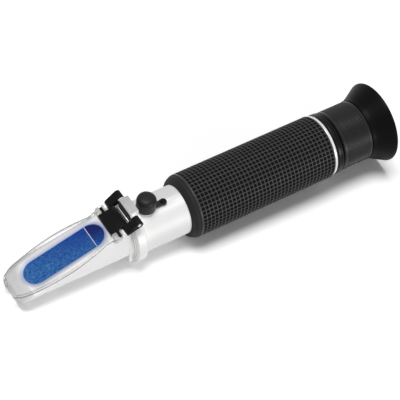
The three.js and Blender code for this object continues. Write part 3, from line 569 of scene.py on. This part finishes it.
def tube_along(path, half_width, half_height, sides=8):
    """A closed bead of oval section along a path of (x, y, z) points."""
    points = []
    for i, p in enumerate(path):
        before, after = Vector(path[max(i - 1, 0)]), Vector(path[min(i + 1, len(path) - 1)])
        side = (after - before).cross(Vector((0, 0, 1))).normalized()
        for s in range(sides):
            turn = 2 * math.pi * s / sides
            q = Vector(p) + side * half_width * math.cos(turn)
            points.append((q.x, q.y, q.z + half_height * math.sin(turn)))
    faces = joined_rings(len(path), sides)
    faces.append(tuple(range(sides)))
    faces.append(tuple(range((len(path) - 1) * sides, len(path) * sides)))
    return mesh_from(points, faces)


# The solids' own shapes with rounded edges: node, piece, body, material, slot and edge radius
for shape in (
    ("prism_seat", "seat_casting", "body", CASTING, "cast_metal", 0.14),
    ("barrel_tube", "barrel_shell", "body", PLATED, "cast_metal", 0.12),
    ("hinge_bracket", "bracket_moulding", "cover_bracket", BLACK_PLASTIC, "black_plastic", 0.3),
    ("hinge_pin", "hinge_pin_rod", "body", STEEL, "steel", 0.15),
    ("detent_wire", "detent_staple", "body", STEEL, "steel", 0.08),
    ("strap_anchor", "anchor_rivet", "body", BLACK_PLASTIC, "black_plastic", 0.15),
    ("daylight_plate", "plate_sheet", "cover", CLEAR_PLASTIC, "clear_plastic", 0.15),
):
    refined(*shape)

# Solids that stay as they are, with a better material
for look, kept in (
    (BLUE_GLASS, ("measuring_prism",)),
    (DEEP_BLUE_GLASS, ("prism_end_block",)),
    (CEMENT, ("prism_bed",)),
    (STEEL, ("seat_screw", "calibration_screw", "strip_screw_far", "strip_screw_near", "focus_key")),
    (BRASS, ("screw_bush", "bimetal_strip_far", "bimetal_strip_near")),
    (CLEAR_GLASS, ("objective_lens", "reticle_glass", "field_lens", "eye_lens")),
    (SEAL_RUBBER, ("focus_seal",)),
    (DARK_METAL, ("objective_cell", "objective_ring", "strip_carrier", "light_baffle_1", "light_baffle_2",
                  "reticle_holder", "reticle_ring", "eyepiece_sleeve", "eyepiece_cell", "lens_spacer",
                  "lens_ring", "focus_retainer")),
):
    for node in kept:
        mesh = NODES[node].data
        for i in range(len(mesh.materials)):
            mesh.materials[i] = look

# Return spring between the barrel's wall and the lens cell
coil = dressed("return_coil", NODES["return_spring"].data.copy(), STEEL)
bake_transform(coil)
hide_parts("return_spring")

# Clear plate: shares of its length and of its half width, with one station past the notch at its ears
PLATE_STATIONS = ((0, 0.56), (0.08, 0.75), (0.26, 0.92), (0.54, 1), (0.76, 0.93), (0.93, 0.8))
PLATE_PAST_NOTCH = (1.06, 0.72)
X_NOTCH = 49.45
PLATE_TOP = 1.3


def plate_half_width(x):
    """Half the plate's width at station x, smooth through its measured stations."""
    share = x / X_NOTCH
    stations = [PLATE_STATIONS[0], *PLATE_STATIONS, PLATE_PAST_NOTCH]
    for i in range(1, len(stations) - 2):
        (x0, w0), (x1, w1), (x2, w2), (x3, w3) = stations[i - 1:i + 3]
        if share <= x2:
            t = (share - x1) / (x2 - x1)
            in_slope = (w2 - w0) / max(x2 - x0, 1e-6) * (x2 - x1)
            out_slope = (w3 - w1) / max(x3 - x1, 1e-6) * (x2 - x1)
            start = (2 * t ** 3 - 3 * t ** 2 + 1) * w1 + (t ** 3 - 2 * t ** 2 + t) * in_slope
            end = (-2 * t ** 3 + 3 * t ** 2) * w2 + (t ** 3 - t ** 2) * out_slope
            return PLATE_HALF_WIDTH * (start + end)
    return PLATE_HALF_WIDTH * stations[-2][1]


# Raised bead round the clear plate's edge, from the near ear round the front to the far one
BEAD_INSET = 0.9
BEAD_LENGTH = 46.5
BEAD_STEPS = 30
BEAD_HALF_WIDTH = 0.35
BEAD_HALF_HEIGHT = 0.25
bead_lift = PLATE_TOP / math.cos(math.atan(FACE_SLOPE))
near_side = []
for k in range(BEAD_STEPS, -1, -1):
    x = BEAD_INSET + BEAD_LENGTH * k / BEAD_STEPS
    near_side.append((x, -(plate_half_width(x) - BEAD_INSET), face_height(x) + bead_lift))
far_side = [(x, -y, z) for x, y, z in reversed(near_side)]
piece("plate_bead", tube_along(near_side + far_side, BEAD_HALF_WIDTH, BEAD_HALF_HEIGHT), "cover",
      CLEAR_PLASTIC)

# Rubber grip: a waffle of square pits between crowned ribs
X_GRIP_STEP = 94.5
X_GRIP_END = X_TRIM - 0.5
PITS_ALONG = 36
PITS_ROUND = 48
RIB_HALF = 0.31
PIT_DEPTH = 0.8
PIT_DRAFT = 0.18
GRIP_TAIL = ((-0.25, 15.85), (-0.05, 15.5), (0, 15.1), (0, GRIP_SEAT_BORE))
GRIP_LIP = ((0.05, SLEEVE_BORE), (0, 12.8), (0.15, 13.5), (0.6, 14.25), (1.1, 14.75), (1.25, 14.6),
            (1.5, 14.7), (1.65, 15.1), (2.3, 15.45), (3.0, 15.75), (3.2, 15.6), (3.4, 15.66), (3.55, 15.95))

# A pit's four corners among the four lines of its cell, and the way in from each
PIT_CORNERS = ((1, 1, 1, 1), (2, 1, -1, 1), (2, 2, -1, -1), (1, 2, 1, -1))


def waffle_grip():
    """The grip as one mesh: the waffle's cells, then the smooth ends and the bore."""
    points, faces, index = [], [], {}

    def at(x, angle, r):
        """The number of the point there, which is made once."""
        key = (round(x, 4), round(angle % (2 * math.pi), 5) % round(2 * math.pi, 5), round(r, 4))
        if key not in index:
            index[key] = len(points)
            points.append((x, -r * math.sin(angle), r * math.cos(angle)))
        return index[key]

    pitch = (X_WAFFLE_END - X_WAFFLE) / PITS_ALONG
    turn = 2 * math.pi / PITS_ROUND
    rib_turn = RIB_HALF / GRIP_RADIUS
    draft_turn = PIT_DRAFT / GRIP_RADIUS
    rim_radius = GRIP_RADIUS - RIB_CROWN
    floor_radius = GRIP_RADIUS - PIT_DEPTH
    for i in range(PITS_ALONG):
        start, end = X_WAFFLE + pitch * i, X_WAFFLE + pitch * (i + 1)
        x = [start, start + RIB_HALF, end - RIB_HALF, end]
        for j in range(PITS_ROUND):
            a = [turn * j, turn * j + rib_turn, turn * (j + 1) - rib_turn, turn * (j + 1)]
            for u in range(3):
                for v in range(3):
                    if u == 1 and v == 1:
                        continue
                    corners = ((u, v), (u + 1, v), (u + 1, v + 1), (u, v + 1))
                    faces.append([at(x[p], a[q], GRIP_RADIUS if p in (0, 3) or q in (0, 3) else rim_radius)
                                  for p, q in corners])
            rim = [at(x[p], a[q], rim_radius) for p, q, _, _ in PIT_CORNERS]
            floor = [at(x[p] + dx * PIT_DRAFT, a[q] + da * draft_turn, floor_radius)
                     for p, q, dx, da in PIT_CORNERS]
            for k in range(4):
                m = (k + 1) % 4
                faces.append([rim[k], rim[m], floor[m], floor[k]])
            faces.append(floor)

    # Smooth ends and the bore join the first and last rib line round
    profile = [(X_WAFFLE_END, GRIP_RADIUS), *from_station(X_GRIP_END, *GRIP_TAIL),
               (X_GRIP_STEP, GRIP_SEAT_BORE), (X_GRIP_STEP, SLEEVE_BORE),
               *from_station(X_GRIP, *GRIP_LIP), (X_WAFFLE, GRIP_RADIUS)]
    angles = []
    for j in range(PITS_ROUND):
        angles += [turn * j, turn * j + rib_turn, turn * (j + 1) - rib_turn]
    for (xa, ra), (xb, rb) in zip(profile, profile[1:]):
        for k, a in enumerate(angles):
            b = angles[(k + 1) % len(angles)]
            faces.append([at(xa, a, ra), at(xb, a, rb), at(xb, b, rb), at(xa, b, ra)])
    return mesh_from(points, faces)


piece("waffle_grip", waffle_grip(), "body", GRIP_RUBBER, ("grip_sleeve",), 80)

# Bright trim ring
TRIM_RADIUS = 15.65
TRIM_STEP = 14.0
TRIM_ROUND = 0.25
x_trim_front = X_TRIM - 0.4
x_trim_back = X_COLLAR - 0.1
trim_outline = [(x_trim_front, TRIM_STEP), (x_trim_front, TRIM_RADIUS), (x_trim_back, TRIM_RADIUS),
                (x_trim_back, SLEEVE_BORE), (X_TRIM, SLEEVE_BORE), (X_TRIM, TRIM_STEP)]
piece("bright_trim", lathe(rounded(trim_outline, [0, TRIM_ROUND, TRIM_ROUND, 0, 0, 0])), "body", TRIM,
      ("trim_ring",))

# Glossy collar with a groove round it
COLLAR_RADIUS = 15.7
COLLAR_LENGTH = 4.1
COLLAR_GROOVE = 2.5
GROOVE_DEPTH = 0.25
GROOVE_HALF = 0.16
collar_outline = from_station(
    X_COLLAR, (0, SLEEVE_BORE), (0, 14.8), (0.9, COLLAR_RADIUS),
    (COLLAR_GROOVE - GROOVE_HALF, COLLAR_RADIUS), (COLLAR_GROOVE, COLLAR_RADIUS - GROOVE_DEPTH),
    (COLLAR_GROOVE + GROOVE_HALF, COLLAR_RADIUS), (3.3, COLLAR_RADIUS), (COLLAR_LENGTH, 14.9),
    (COLLAR_LENGTH, SLEEVE_BORE))
piece("grooved_collar", lathe(rounded(collar_outline, [0, 0.3, 0.4, 0, 0, 0, 0.3, 0.3, 0])), "body",
      GLOSSY_PLASTIC, ("rear_collar",), 25)

# Focus ring: fine straight knurl between two smooth bands, and a neck that carries the eyecup
FOCUS_RADIUS = 15.3
FOCUS_BORE = 10.4
X_FOCUS_BORE_END = 190.45
NECK_RADIUS = 13.6
NECK_BORE = 12.5
X_NECK_END = X_CUP + 3.9
KNURL_RIBS = 100
SIDES_PER_RIB = 4
KNURL_DEPTH = 0.22
KNURL_FLOOR = FOCUS_RADIUS - KNURL_DEPTH
X_KNURL = X_FOCUS + 2.4
X_KNURL_END = X_CUP - 2.0
focus_outline = [
    (X_FOCUS, FOCUS_BORE), (X_FOCUS, 14.7), (X_FOCUS + 0.5, FOCUS_RADIUS),
    (X_KNURL - 0.5, FOCUS_RADIUS), (X_KNURL - 0.3, KNURL_FLOOR), (X_KNURL - 0.1, KNURL_FLOOR),
    (X_KNURL, FOCUS_RADIUS), (X_KNURL_END, FOCUS_RADIUS),
    (X_KNURL_END + 0.1, KNURL_FLOOR), (X_KNURL_END + 0.3, KNURL_FLOOR), (X_KNURL_END + 0.5, FOCUS_RADIUS),
    (X_CUP - 0.3, FOCUS_RADIUS), (X_CUP, 15.0), (X_CUP, NECK_RADIUS), (X_NECK_END, NECK_RADIUS),
    (X_NECK_END, NECK_BORE), (X_FOCUS_BORE_END, NECK_BORE), (X_FOCUS_BORE_END, FOCUS_BORE),
]
KNURLED_POINTS = (6, 7)


def knurl(i, s):
    """Two of each rib's four sides lie low, on the outline's two points that the knurl runs between."""
    return -KNURL_DEPTH if i in KNURLED_POINTS and s % SIDES_PER_RIB in (1, 2) else 0


piece("knurled_focus_ring", lathe(focus_outline, KNURL_RIBS * SIDES_PER_RIB, knurl), "focus", KNURL_PLASTIC,
      ("focus_ring",), 25)

# Eyecup: a soft flare with a rounded rim
CUP_RADIUS = 20.5
CUP_LIP = (10.6, 20.3)
CUP_BORE = 11.0
CUP_SOCKET = 13.7
cup_outer = from_station(X_CUP, (0.1, 15.35), (0.3, 15.5), (1.2, 15.6), (2.2, 15.85), (3.2, 16.3),
                         (6.2, 17.85), (9.2, 19.55), CUP_LIP)
cup_rim = rounded([*from_station(X_CUP, CUP_LIP), (X_RIM, CUP_RADIUS), (X_RIM, 18.9),
                   *from_station(X_CUP, (8.2, 17.0))], [0, 0.3, 0.5, 0], 4)
cup_inner = from_station(X_CUP, (5.3, 13.9), (4.9, 13.2), (4.6, CUP_BORE), (4.0, CUP_BORE),
                         (4.0, CUP_SOCKET), (0.1, CUP_SOCKET))
piece("flared_eyecup", lathe(cup_outer + cup_rim[1:] + cup_inner), "focus", CUP_RUBBER,
      ("eyecup",), 40)

# Calibration cap: a domed rubber disc over the screw, hollow below
CAP_RADIUS = 4.8
CAP_BORE = 3.8
CAP_FOOT = 13.25
CAP_ROOF = 15.7
CAP_SHOULDER = 18.5
CAP_RISE = 2.6
CROWN_STEPS = 9
CROWN_FULLNESS = 0.55
cap_profile = [(CAP_ROOF, 0), (CAP_ROOF, CAP_BORE - 0.2), (CAP_ROOF - 0.2, CAP_BORE),
               (CAP_FOOT + 0.2, CAP_BORE), (CAP_FOOT, CAP_BORE + 0.2), (CAP_FOOT, CAP_RADIUS - 0.2),
               (CAP_FOOT + 0.15, CAP_RADIUS - 0.05), (CAP_FOOT + 0.55, CAP_RADIUS),
               (CAP_SHOULDER, CAP_RADIUS)]
for k in range(1, CROWN_STEPS):
    lean = math.pi / 2 * k / CROWN_STEPS
    cap_profile.append((CAP_SHOULDER + CAP_RISE * math.sin(lean),
                        CAP_RADIUS * math.cos(lean) ** CROWN_FULLNESS))
cap_profile.append((CAP_SHOULDER + CAP_RISE, 0))
piece("cap_dome", upright_lathe(cap_profile, X_SCREW, 0), "cap", CAP_RUBBER,
      ("calibration_cap",), 40)

# Strap: one band from the cap to its looped end on the rivet
STRAP_LOW = 12.7
STRAP_HIGH = 13.85
STRAP_SIDE = -1.1
STRAP_HALF = 1.5
STRAP_EDGE = 0.25
X_STRAP = X_SCREW + 4.3
LEAD_POINTS = 9
LEAD_STEP = 0.45
LOOP_RADIUS = 1.8
LOOP_HOLE = 1.0
LOOP_STEPS = 24
LOOP_TURN = math.pi * 0.62
HOLE_STEPS = 16


def strap_band():
    """Outline and hole of the strap bridged into one solid, with its edges rounded."""
    arc = [on_circle(X_ANCHOR, STRAP_SIDE, LOOP_RADIUS, -LOOP_TURN + 2 * LOOP_TURN * k / LOOP_STEPS)
           for k in range(LOOP_STEPS + 1)]
    hole = [on_circle(X_ANCHOR, STRAP_SIDE, LOOP_HOLE, 2 * math.pi * k / HOLE_STEPS)
            for k in range(HOLE_STEPS)]
    lead = [x for x in (X_STRAP + LEAD_STEP * k for k in range(LEAD_POINTS)) if x < arc[0][0] - 0.3]
    outer = [(x, STRAP_SIDE - STRAP_HALF) for x in lead]
    outer += arc
    outer += [(x, STRAP_SIDE + STRAP_HALF) for x in reversed(lead)]

    bm = bmesh.new()
    edges = []
    for ring in (outer, hole):
        verts = [bm.verts.new(row(x, y, STRAP_HIGH)) for x, y in ring]
        edges += [bm.edges.new((verts[k], verts[(k + 1) % len(verts)])) for k in range(len(verts))]
    bmesh.ops.triangle_fill(bm, edges=edges, use_beauty=True)
    extruded = bmesh.ops.extrude_face_region(bm, geom=list(bm.faces))
    moved = [v for v in extruded["geom"] if isinstance(v, bmesh.types.BMVert)]
    bmesh.ops.translate(bm, verts=moved, vec=(0, 0, (STRAP_LOW - STRAP_HIGH) * MM))
    bmesh.ops.recalc_face_normals(bm, faces=bm.faces)
    mesh = bpy.data.meshes.new("strap")
    bm.to_mesh(mesh)
    bm.free()
    return bevelled(mesh, STRAP_EDGE, 50)


band = dressed("cap_band", strap_band(), CAP_RUBBER, 35)
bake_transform(band)
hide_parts("cap_strap")


# Stage, light and camera

def sees_background(graph):
    """1 for rays that show the background: seen directly, off polished surfaces and through glass."""
    rays = graph.node("LightPath").outputs
    mirrored = graph.math("MAXIMUM", rays["Is Camera Ray"], rays["Is Glossy Ray"])
    return graph.math("MAXIMUM", mirrored, rays["Is Transmission Ray"])


# The instrument lies on the eyecup's rim and on the front edge of the grip
X_REST = 94.4
REST_REAR = row(X_RIM - 0.2, 0, -CUP_RADIUS)
REST_FRONT = row(X_REST, 0, -GRIP_RADIUS)
FLOOR_HALF = 3.0
FLOOR_COLOUR = 0.75
FLOOR_SEEN = 1.5
floor_tilt = math.atan2(REST_FRONT.z - REST_REAR.z, REST_REAR.x - REST_FRONT.x)
floor_mesh = bpy.data.meshes.new("floor")
floor_mesh.from_pydata([(-FLOOR_HALF, -FLOOR_HALF, 0), (FLOOR_HALF, -FLOOR_HALF, 0),
                        (FLOOR_HALF, FLOOR_HALF, 0), (-FLOOR_HALF, FLOOR_HALF, 0)], [], [(0, 1, 2, 3)])
floor = placed("floor", floor_mesh)
floor.matrix_world = Matrix.Translation(REST_REAR) @ Matrix.Rotation(floor_tilt, 4, "Y")
floor_look, floor_graph, floor_shader = material("pale_floor")
floor_graph.nodes.remove(floor_shader)
paper = floor_graph.node("BsdfDiffuse")
floor_graph.put(paper.inputs["Color"],
                floor_graph.mixed(sees_background(floor_graph), grey(FLOOR_COLOUR), grey(FLOOR_SEEN)))
floor_graph.put(floor_graph.nodes["Material Output"].inputs["Surface"], paper.outputs[0])
floor_mesh.materials.append(floor_look)

# The world is white to rays that show the background, and a weak fill for the others
WORLD_LIGHT = 0.1
world = bpy.data.worlds.new("studio")
bpy.context.scene.world = world
world.use_nodes = True
sky_graph = Graph(world.node_tree)
sky = sky_graph.nodes["Background"]
sky.inputs["Color"].default_value = (1, 1, 1, 1)
sky_graph.put(sky.inputs["Strength"], sky_graph.math("MAXIMUM", sees_background(sky_graph), WORLD_LIGHT))


def sun(name, towards, strength, spread):
    """A soft lamp at infinity that shines from the direction given."""
    light = bpy.data.lights.new(name, "SUN")
    light.energy = strength
    light.angle = math.radians(spread)
    placed(name, light).rotation_euler = Vector(towards).to_track_quat("Z", "Y").to_euler()


# One broad lamp above, and a low one on the near side, which only grazes the floor
sun("above", (-0.04, 0.06, 1.0), 1.8, 28)
sun("side", (0.25, -0.94, 0.13), 1.4, 26)

# The camera of the photograph: its place and the directions of its right, up and back
CAMERA_PLACE = (-0.36594, -0.452469, 0.751915)
CAMERA_AXES = ((0.842563, -0.530816, 0.091228), (0.376544, 0.701648, 0.604901),
               (-0.385101, -0.475316, 0.791058))
lens = bpy.data.cameras.new("camera")
lens.lens = 180
lens.sensor_width = 36
lens.clip_end = 20
camera = placed("camera", lens)
camera.matrix_world = Matrix.Translation(CAMERA_PLACE) @ Matrix(CAMERA_AXES).transposed().to_4x4()
bpy.context.scene.camera = camera
bpy.context.scene.view_settings.view_transform = "Standard"
